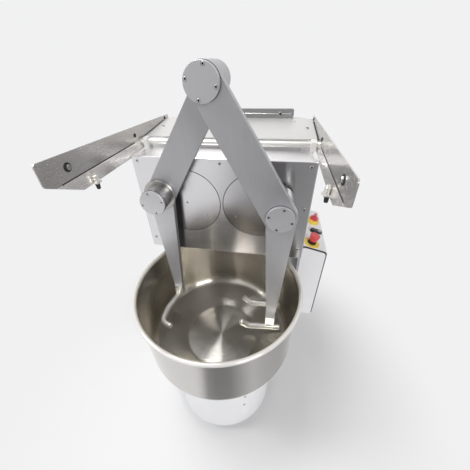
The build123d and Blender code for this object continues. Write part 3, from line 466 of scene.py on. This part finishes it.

# Tones by place: (metres, factor) before and after, and heights over which a tone ends; all are
# painted light and shade, but for the rim's metal share and the door gasket's tone
ARM_PAINTED_LIGHT = ((0.75, 1.5), (1.25, 0.9))
FLANK_TOP = (1.17, 1.27)
BACK_TOP = (1.08, 1.18)
RIM_PAINTED_LIGHT = ((0.750, 1.0), (0.757, 1.15))
RIM_METAL = ((0.750, 1.0), (0.757, 0.2))
GUARD_FOLD_PAINTED_LIGHT = ((1.2100, 1.35), (1.2108, 0.9))
GASKET_TONE = ((0.3030, 45.0), (0.3040, 1.0))

# Painted light and shade by the way a face looks: (share along the axis, factor) before and after
PAINTED_FLANK_SHADE = ((-0.9, 1.0), (-0.5, 0.4))
UNDO_FLANK_SHADE_ON_BACK = ((0.2, 1.0), (0.6, 2.5))
PAINTED_BACK_SHADE = ((0.2, 1.0), (0.6, 0.18))
UNDO_FLANK_SHADE_ON_TOP = ((0.2, 1.0), (0.45, 2.2))
BOWL_FLOOR_PAINTED_SHADE = ((0.8, 1.0), (0.95, 0.95))

# By material slot: colour, roughness, and the grain of the brush lines or the relief
finishes = {
    "body_paint": speckled("white_paint", (0.89, 0.89, 0.91), 0.32, 1.2, spread=0.01)
    .set(Coat_Weight=0.3),
    "plinth_paint": speckled("plinth_paint", (0.62, 0.62, 0.64), 0.4, 1.2),
    "cover_steel": brushed("cover_steel", COVER_COLOUR, 0.24, (6, 900, 900))
    # Painted light on the faces that look up
    .painted_top_light(1.3)
    .stretched("X", COVER_STRETCH),
    "arm_steel": brushed(
        "arm_steel", (0.47, 0.47, 0.49), 0.42, (700, 700, 9), spread=0.08, metallic=0.65
    )
    # Painted light and shade on the arms: lighter toward the lower end, darker on flanks and backs
    # low down, flanks that face up kept light
    .shade(*ARM_PAINTED_LIGHT)
    .painted_light_by_facing("Y", *PAINTED_FLANK_SHADE, FLANK_TOP)
    .painted_light_by_facing("Y", *UNDO_FLANK_SHADE_ON_BACK, FLANK_TOP)
    .painted_light_by_facing("Y", *PAINTED_BACK_SHADE, BACK_TOP)
    .painted_light_by_facing("Z", *UNDO_FLANK_SHADE_ON_TOP, FLANK_TOP),
    "tool_steel": brushed("tool_steel", (0.88, 0.87, 0.83), 0.24, (60, 900, 900), metallic=0.85),
    "screw_steel": brushed("screw_steel", (0.52, 0.52, 0.53), 0.3, (900, 900, 900)),
    "bowl_steel": spun("bowl_steel", (0.66, 0.64, 0.62), 0.21, stretch=0.98)
    # Painted shade on the inner faces and on the faces that look up, and painted light on the rim
    .painted_inside_shade((0.87, 0.85, 0.79))
    .painted_light_by_facing("Z", *BOWL_FLOOR_PAINTED_SHADE)
    .shade(*RIM_PAINTED_LIGHT)
    .metal(*RIM_METAL),
    "casting": speckled("cast_iron", (0.30, 0.32, 0.34), 0.6, 2.0, spread=0.12, relief=0.1),
    "machined_steel": brushed("machined_steel", (0.58, 0.58, 0.6), 0.3, (300, 900, 300)),
    "motor_paint": speckled("motor_paint", (0.28, 0.33, 0.40), 0.45, 1.5, spread=0.06),
    "black_rubber": speckled("black_rubber", RUBBER_COLOUR, 0.7, 0.8, spread=0.2),
    "white_nylon": speckled("white_nylon", (0.86, 0.86, 0.84), 0.45, 0.9, spread=0.02),
    "shaft_chrome": brushed("shaft_chrome", (0.90, 0.89, 0.84), 0.35, (900, 30, 30), metallic=0.7),
    "guard_steel": brushed("guard_steel", (0.64, 0.62, 0.60), 0.26, (700, 8, 700), metallic=0.75)
    # Painted light on the faces that look up and on the band below the fold, a little painted
    # shade above it
    .painted_top_light(1.05)
    .shade(*GUARD_FOLD_PAINTED_LIGHT),
    "panel_steel": brushed(
        "panel_steel", (0.68, 0.675, 0.66), 0.5, (700, 8, 700), spread=0.01, metallic=0.8
    ),
    "strip_grey": brushed("strip_grey", (0.36, 0.36, 0.37), 0.36, (8, 900, 900)),
    "red_plastic": speckled("red_plastic", (0.76, 0.08, 0.09), 0.32, 0.9, spread=0.05),
    "yellow_plastic": speckled("yellow_plastic", (0.92, 0.71, 0.10), 0.4, 0.9, spread=0.04),
    "black_plastic": speckled("black_plastic", (0.022, 0.022, 0.024), 0.38, 0.7, spread=0.15),
    "start_plastic": speckled("start_plastic", (0.05, 0.05, 0.052), 0.35, 0.7, spread=0.12),
    "stop_plastic": speckled("stop_plastic", (0.42, 0.42, 0.44), 0.35, 0.7, spread=0.06),
}

# CAD nodes with a finish of their own
turned_steel = brushed("turned_steel", (0.44, 0.43, 0.42), 0.28, (8, 900, 8))
cap_steel = brushed("cap_steel", (0.55, 0.55, 0.57), 0.42, (700, 700, 9), metallic=0.65)
# Painted light and shade on the caps by height, as on the arms
cap_steel.shade(*ARM_PAINTED_LIGHT)
gasket_rubber = speckled("gasket_rubber", RUBBER_COLOUR, 0.7, 0.8, spread=0.1)
gasket_rubber.beside(*GASKET_TONE)
own_finish = {
    "door_gasket": gasket_rubber,
    "left_elbow_hub": turned_steel,
    "right_elbow_hub": turned_steel,
    "right_elbow_cap": cap_steel,
    "left_elbow_cap": cap_steel,
    "top_cap": cap_steel,
    "top_rear_cap": cap_steel,
}
for side, disc_turn in DISC_TURNS.items():
    disc_steel = brushed(f"{side}_disc_steel", COVER_COLOUR, 0.2, (6, 900, 900))
    own_finish[f"{side}_crank_disc"] = disc_steel.stretched("X", COVER_STRETCH, disc_turn)
for subpart in frame["record"]["subparts"]:
    node = nodes[subpart["node"]]
    finish = own_finish.get(subpart["node"], finishes[subpart["material_slot"]])
    node.data.materials.clear()
    node.data.materials.append(finish.material)


# Pieces


def dress(name, bm, slot, body, *replaced):
    """Finish a new piece from a material slot and let it ride on a body."""
    piece = mesh_piece(name, bm)
    piece.data.materials.append(finishes[slot].material)
    # A second, black slot for the painted shade in screw sockets and under bolt heads
    if any(polygon.material_index for polygon in piece.data.polygons):
        piece.data.materials.append(finishes["black_rubber"].material)
    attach(piece, body)
    if replaced:
        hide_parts(*replaced)


def panel_top(y):
    """Height of the guard panel's upper face at a depth."""
    return PANEL_Z + (y - PANEL_Y) * math.tan(math.radians(PANEL_TILT)) + PANEL_THICKNESS


# Screws of the caps on the arms, in their pockets: centre, depth and turn of the first screw
CAP_SCREW_CIRCLE = 33.6
CAP_SCREW_SIZE = (4.5, 3.5)
CAP_POCKETS = {
    "right": ((ELBOWS["right"], -22.0, 77.0), (PIVOT, -30.0, 77.0)),
    "left": ((ELBOWS["left"], 14.0, 103.0),),
}
for side, pockets in CAP_POCKETS.items():
    heads = bmesh.new()
    for (x, z), y, first_turn in pockets:
        for quarter in range(4):
            a = math.radians(first_turn + 90 * quarter)
            screw_x = x + CAP_SCREW_CIRCLE * math.cos(a)
            screw_z = z + CAP_SCREW_CIRCLE * math.sin(a)
            add_socket_screw(heads, (screw_x, y, screw_z), FRONT, *CAP_SCREW_SIZE)
    dress(f"{side}_cap_screw_heads", heads, "screw_steel", f"{side}_arm", f"{side}_cap_screws")

# Dark rings at the feet of the caps, painted shade round each cap: centre, depth and radius
CAP_SHADE_RING_HEIGHT = 0.8
CAP_SHADE_RING_HALF_WIDTH = 1
CAP_SHADE_RINGS = {
    "right": ((ELBOWS["right"], -16.0, 41.3), (PIVOT, -16.0, 39.7)),
    "left": ((ELBOWS["left"], 20.0, 41.3),),
}
for side, rings in CAP_SHADE_RINGS.items():
    cap_shade_mesh = bmesh.new()
    for (x, z), y, radius in rings:
        inner, outer = radius - CAP_SHADE_RING_HALF_WIDTH, radius + CAP_SHADE_RING_HALF_WIDTH
        profile = ((inner, 0), (outer, 0), (outer, CAP_SHADE_RING_HEIGHT), (inner, CAP_SHADE_RING_HEIGHT))
        add_ring(cap_shade_mesh, (x, y, z), FRONT, profile)
    dress(f"{side}_cap_shade_rings", cap_shade_mesh, "black_rubber", f"{side}_arm")

# Screws of the front cover, the base and the discs: places (x, z), and radius and height
COVER_SCREWS = [(x, z) for z in (1169, 1023, 855) for x in (-280, 280)] + [(0, 1169)]
COVER_SCREW_SIZE = (4.8, 2.4)
NOSE_SCREWS = ((128, 230), (130, 309))
NOSE_SCREW_SIZE = (5.0, 2.4)
PLUG_SIZE = (4.2, 1.0)
screws = bmesh.new()
for x, z in COVER_SCREWS:
    add_socket_screw(screws, (x, COVER_Y, z), FRONT, *COVER_SCREW_SIZE)
for x, z in NOSE_SCREWS:
    out = Vector((x, -math.sqrt(NOSE_RADIUS**2 - x**2), 0))
    add_socket_screw(screws, (out.x, out.y, z), out, *NOSE_SCREW_SIZE)
dress("cover_screws", screws, "screw_steel", "machine")

for side, crank_x in (("right", CRANK_X), ("left", -CRANK_X)):
    elbow_x, elbow_z = ELBOWS[side]
    opposite = (2 * crank_x - elbow_x, COVER_Y, 2 * CRANK_Z - elbow_z)
    plugs = bmesh.new()
    add_socket_screw(plugs, (crank_x, COVER_Y, CRANK_Z), FRONT, *PLUG_SIZE)
    add_socket_screw(plugs, opposite, FRONT, *PLUG_SIZE)
    dress(f"{side}_crank_plugs", plugs, "screw_steel", f"{side}_crank")

# Dark rings in the gaps round the crank discs, painted shade of the gaps
DISC_GAP_SHADE_INNER, DISC_GAP_SHADE_OUTER = 119.3, 121.2
DISC_GAP_SHADE_NEAR, DISC_GAP_SHADE_FAR = -0.6, -2.8
DISC_GAP_SHADE_PROFILE = (
    (DISC_GAP_SHADE_INNER, DISC_GAP_SHADE_FAR),
    (DISC_GAP_SHADE_OUTER, DISC_GAP_SHADE_FAR),
    (DISC_GAP_SHADE_OUTER, DISC_GAP_SHADE_NEAR),
    (DISC_GAP_SHADE_INNER, DISC_GAP_SHADE_NEAR),
)
disc_gap_shade = bmesh.new()
for crank_x in (CRANK_X, -CRANK_X):
    add_ring(disc_gap_shade, (crank_x, COVER_Y, CRANK_Z), FRONT, DISC_GAP_SHADE_PROFILE)
dress("disc_gap_shade_rings", disc_gap_shade, "black_rubber", "machine")

# Screws and bolts of the guard, its panel and its clamp strip
LEFT_ARM_SCREWS = ((173, 1216), (107, 1205))
LEFT_ARM_SCREW_SIZE = (3.2, 2.0)
GUARD_BOLT = (-130, 1241)
GUARD_BOLT_SIZE = (13, 6)
PANEL_SCREW = (276, 363)
PANEL_SCREW_SIZE = (6.5, 2.0)
SMALL_PANEL_SCREW = (234, 440)
SMALL_PANEL_SCREW_SIZE = (3.5, 1.5)
STRIP_SCREW_X, STRIP_SCREW_Y, STRIP_SCREW_Z = 177, 480.3, 1251.8
STRIP_SCREW_SIZE = (7.0, 3.0)
tilt = math.radians(PANEL_TILT)
panel_up = Vector((0, -math.sin(tilt), math.cos(tilt)))
panel_along = Vector((0, panel_up.z, -panel_up.y))
fastenings = bmesh.new()
for side in (1, -1):
    inward = (-side, 0, 0)
    for y, z in LEFT_ARM_SCREWS if side < 0 else ():
        place = (side * GUARD_INNER_X, y, z)
        add_socket_screw(fastenings, place, inward, *LEFT_ARM_SCREW_SIZE, WIDE_SOCKET)
    place = (side * GUARD_INNER_X, *GUARD_BOLT)
    add_hex_bolt(fastenings, place, inward, *GUARD_BOLT_SIZE)
    x, y = PANEL_SCREW
    place = (side * x, y, panel_top(y))
    add_socket_screw(fastenings, place, panel_up, *PANEL_SCREW_SIZE, WIDE_SOCKET)
x, y = SMALL_PANEL_SCREW
add_socket_screw(fastenings, (x, y, panel_top(y)), panel_up, *SMALL_PANEL_SCREW_SIZE)
for x in (-STRIP_SCREW_X, STRIP_SCREW_X):
    place = (x, STRIP_SCREW_Y, STRIP_SCREW_Z)
    add_socket_screw(fastenings, place, -panel_along, *STRIP_SCREW_SIZE, WIDE_SOCKET)
dress("guard_screws", fastenings, "screw_steel", "guard")

# Dark strips in the gaps between the guard's panel and arms and along the folds, painted shade of
# those gaps, and dark button screws
GAP_SHADE_X, GAP_SHADE_LENGTH = 304.0, 186.0
GAP_SHADE_OFFSET, GAP_SHADE_LIFT = 2, 1.8
GAP_SHADE_HALF_WIDTH, GAP_SHADE_HALF_HEIGHT = 1.8, 1.6
FOLD_REAR, FOLD_FRONT, FOLD_Z = 180.0, -165.0, 1211.0
FOLD_HALF_WIDTH, FOLD_HALF_HEIGHT = 0.4, 1.3
BUTTONS = ((454, 1238, 6.0), (190, 1232, 6.5))
BUTTON_EDGE, BUTTON_HEIGHT, BUTTON_TOP = 1.5, 3.0, 0.6
gap_shade_mesh = bmesh.new()
for side in (1, -1):
    corner = Vector((side * GAP_SHADE_X, PANEL_Y, PANEL_Z))
    start = corner + panel_along * GAP_SHADE_OFFSET + panel_up * GAP_SHADE_LIFT
    end = start + panel_along * GAP_SHADE_LENGTH
    add_bar(gap_shade_mesh, start, end, (GAP_SHADE_HALF_WIDTH, 0, 0), panel_up * GAP_SHADE_HALF_HEIGHT)
    fold_x = side * (GUARD_INNER_X - FOLD_HALF_WIDTH)
    start, end = (fold_x, FOLD_REAR, FOLD_Z), (fold_x, FOLD_FRONT, FOLD_Z)
    add_bar(gap_shade_mesh, start, end, (FOLD_HALF_WIDTH, 0, 0), (0, 0, FOLD_HALF_HEIGHT))
    for y, z, radius in BUTTONS:
        profile = ((radius, 0), (radius, BUTTON_EDGE), (radius * BUTTON_TOP, BUTTON_HEIGHT))
        add_round(gap_shade_mesh, (side * GUARD_INNER_X, y, z), (-side, 0, 0), profile)
dress("guard_gap_shade_and_buttons", gap_shade_mesh, "black_rubber", "guard")

# Bright inlay along the clamp strip, its section as shares of the depth and the half height
INLAY_LENGTH, INLAY_HEIGHT, INLAY_DEPTH = 440.0, 2.6, 0.6
INLAY_SECTION = ((0, -1), (1, -0.6), (1, 0.6), (0, 1))
inlay = bmesh.new()
centre = Vector((0, PANEL_Y, PANEL_Z)) + panel_along * STRIP_FRONT + panel_up * STRIP_MIDDLE
rings = []
for x in (-INLAY_LENGTH / 2, INLAY_LENGTH / 2):
    ring = []
    for front, rise in INLAY_SECTION:
        forward = panel_along * front * INLAY_DEPTH
        point = centre + Vector((x, 0, 0)) - forward + panel_up * rise * INLAY_HEIGHT / 2
        ring.append(point * MM)
    rings.append(ring)
loft(inlay, rings)
dress("strip_inlay", inlay, "tool_steel", "guard")

# Washer, two lock nuts and the stud's end on each bumper
NUT_FLATS, NUT_HEIGHT, NUT_CHAMFER = 13, 8, 0.8
NUT_END = NUT_FLATS * 0.47
NUT_PROFILE = (
    (NUT_END, 0),
    (hexagon(NUT_FLATS), NUT_CHAMFER),
    (hexagon(NUT_FLATS), NUT_HEIGHT - NUT_CHAMFER),
    (NUT_END, NUT_HEIGHT),
)
NUT_WASHER_RADIUS, NUT_WASHER_HEIGHT = NUT_FLATS * 0.9, 2
NUT_WASHER_PROFILE = ((NUT_WASHER_RADIUS, 0), (NUT_WASHER_RADIUS, NUT_WASHER_HEIGHT))
STUD_PROFILE = ((4, 0), (4, 5), (3.2, 6))
BUMPER_STACK = (
    (0, NUT_WASHER_PROFILE),
    (NUT_WASHER_HEIGHT, NUT_PROFILE),
    (NUT_WASHER_HEIGHT + NUT_HEIGHT, NUT_PROFILE),
    (NUT_WASHER_HEIGHT + 2 * NUT_HEIGHT, STUD_PROFILE),
)
for side, name in ((1, "right"), (-1, "left")):
    nuts = bmesh.new()
    for base, profile in BUMPER_STACK:
        add_round(nuts, (side * LUG_X, LUG_Y, LUG_TOP_Z + base), UP, profile)
    dress(f"{name}_bumper_nuts", nuts, "tool_steel", "guard")


# Floor, light and camera

PALE = 0.88
BACKDROP = (PALE, PALE, PALE * 1.01, 1)
FLOOR_REACH = 30
FLOOR_SQUARES = 8
FLOOR_COLOUR = (0.76, 0.76, 0.765)
FLOOR_ROUGHNESS = 0.6

# Distances from the origin over which the floor fades into the background, in metres
SHADOW_REACH = (0.5, 1.2)
MIRRORED_REACH = (0.30, 0.45)

# Light of the world on the object, and the room that metal mirrors: (degrees from the front
# to the right, brightness), pale behind and dark at the front; its ramp starts at the left
ROOM_LIGHT = 0.45
RAMP_START = -90
ROOM = (
    (-90, 0.96),
    (-17, 0.92),
    (-11, 0.75),
    (-5, 0.35),
    (5, 0.26),
    (20, 0.27),
    (33, 0.40),
    (46, 0.58),
    (90, 0.50),
    (130, 0.85),
    (180, 1.0),
    (270, 0.96),
)

# Soft lights: name, place, target, size and power, in metres and watts
LIGHTS = (
    ("key_light", (-2.5, -0.6, 3.3), (0, 0.1, 0.7), (0.9, 0.9), 42),
    ("fill_light", (2.3, -2.7, 2.6), (0, 0.1, 0.8), (1.6, 1.4), 62),
    ("top_light", (-0.9, 0.1, 4.6), (0, 0.1, 0.6), (1.3, 1.3), 66),
)


def seen_directly(tree, *rays):
    """Whether a light path is one of the named rays."""
    path = add_node(tree, "ShaderNodeLightPath")
    value = path.outputs[rays[0]]
    for ray in rays[1:]:
        most = add_node(tree, "ShaderNodeMath", operation="MAXIMUM")
        tree.links.new(value, most.inputs[0])
        tree.links.new(path.outputs[ray], most.inputs[1])
        value = most.outputs["Value"]
    return value


def room(tree, vector):
    """Brightness of the mirrored room in a direction."""
    around = add_node(tree, "ShaderNodeTexGradient", gradient_type="RADIAL")
    tree.links.new(vector, around.inputs["Vector"])
    ramp = add_node(tree, "ShaderNodeValToRGB")
    stops = ramp.color_ramp.elements
    while len(stops) < len(ROOM):
        stops.new(0.5)
    for stop, (azimuth, level) in zip(stops, ROOM):
        stop.position = (azimuth - RAMP_START) / 360
        stop.color = (level, level, level, 1)
    tree.links.new(around.outputs["Fac"], ramp.inputs["Fac"])
    return ramp.outputs["Color"]


floor_mesh = bmesh.new()
bmesh.ops.create_grid(
    floor_mesh, x_segments=FLOOR_SQUARES, y_segments=FLOOR_SQUARES, size=FLOOR_REACH
)
floor = mesh_piece("floor", floor_mesh)
paper = Finish("floor_paper", FLOOR_COLOUR, FLOOR_ROUGHNESS)
paper.tint(paper.noise(paper.place(EVERY_WAY), scale=3.0), spread=0.005)
floor_place = paper.place(EVERY_WAY)
away = paper.node("ShaderNodeVectorMath", operation="LENGTH")
paper.link(floor_place, away.inputs[0])


def far_glow(below, reach, colour, *rays):
    """Glow in place of a shader beyond a reach, for the named rays."""
    fade = paper.step(away.outputs["Value"], (reach[0], 0.0), (reach[1], 1.0))
    share = paper.node("ShaderNodeMath", operation="MULTIPLY")
    paper.link(fade, share.inputs[0])
    paper.link(seen_directly(paper.tree, *rays), share.inputs[1])
    glow = paper.node("ShaderNodeEmission")
    if colour is None:
        glow.inputs["Color"].default_value = BACKDROP
    else:
        paper.link(colour, glow.inputs["Color"])
    mixed = paper.node("ShaderNodeMixShader")
    paper.link(share.outputs["Value"], mixed.inputs["Fac"])
    paper.link(below, mixed.inputs[1])
    paper.link(glow.outputs["Emission"], mixed.inputs[2])
    return mixed.outputs["Shader"]


near = paper.shader.outputs["BSDF"]
seen = far_glow(near, SHADOW_REACH, None, "Is Camera Ray", "Is Transmission Ray")
seen = far_glow(seen, MIRRORED_REACH, room(paper.tree, floor_place), "Is Glossy Ray")
paper.link(seen, paper.tree.nodes["Material Output"].inputs["Surface"])
floor.data.materials.append(paper.material)

for name, place, target, size, power in LIGHTS:
    lamp = bpy.data.lights.new(name, "AREA")
    lamp.shape = "RECTANGLE"
    lamp.size, lamp.size_y = size
    lamp.energy = power
    holder = bpy.data.objects.new(name, lamp)
    holder.location = place
    aim = Vector(target) - Vector(place)
    holder.rotation_euler = aim.to_track_quat("-Z", "Y").to_euler()
    scene.collection.objects.link(holder)

world = bpy.data.worlds.new("studio")
scene.world = world
world.use_nodes = True
sky = world.node_tree
sky.nodes.clear()
direction = add_node(sky, "ShaderNodeTexCoord").outputs["Generated"]
mirrored = add_node(sky, "ShaderNodeMix", data_type="RGBA")
mirrored.inputs["A"].default_value = (ROOM_LIGHT, ROOM_LIGHT, ROOM_LIGHT, 1)
sky.links.new(seen_directly(sky, "Is Glossy Ray"), mirrored.inputs["Factor"])
sky.links.new(room(sky, direction), mirrored.inputs["B"])
backdrop = add_node(sky, "ShaderNodeMix", data_type="RGBA")
backdrop.inputs["B"].default_value = BACKDROP
background_rays = seen_directly(sky, "Is Camera Ray", "Is Transmission Ray")
sky.links.new(background_rays, backdrop.inputs["Factor"])
sky.links.new(mirrored.outputs["Result"], backdrop.inputs["A"])
shine = add_node(sky, "ShaderNodeBackground")
sky.links.new(backdrop.outputs["Result"], shine.inputs["Color"])
world_output = add_node(sky, "ShaderNodeOutputWorld")
sky.links.new(shine.outputs["Background"], world_output.inputs["Surface"])

yaw, pitch, roll = (math.radians(a) for a in (CAMERA_YAW, CAMERA_PITCH, CAMERA_ROLL))
heading = Matrix.Rotation(yaw, 3, "Z")
tip = Matrix.Rotation(math.pi / 2 - pitch, 3, "X")
lean = Matrix.Rotation(roll, 3, "Z")
camera = bpy.data.objects.new("camera", bpy.data.cameras.new("camera"))
camera.data.sensor_width = SENSOR
camera.data.lens = SENSOR * FOCAL_PIXELS / PHOTO_SIZE
camera.data.shift_x = (PHOTO_SIZE / 2 - PRINCIPAL_POINT[0]) / PHOTO_SIZE
camera.data.shift_y = (PRINCIPAL_POINT[1] - PHOTO_SIZE / 2) / PHOTO_SIZE
camera_turn = (heading @ tip @ lean).to_4x4()
camera.matrix_world = Matrix.Translation(Vector(CAMERA_PLACE) * MM) @ camera_turn
scene.collection.objects.link(camera)
scene.camera = camera
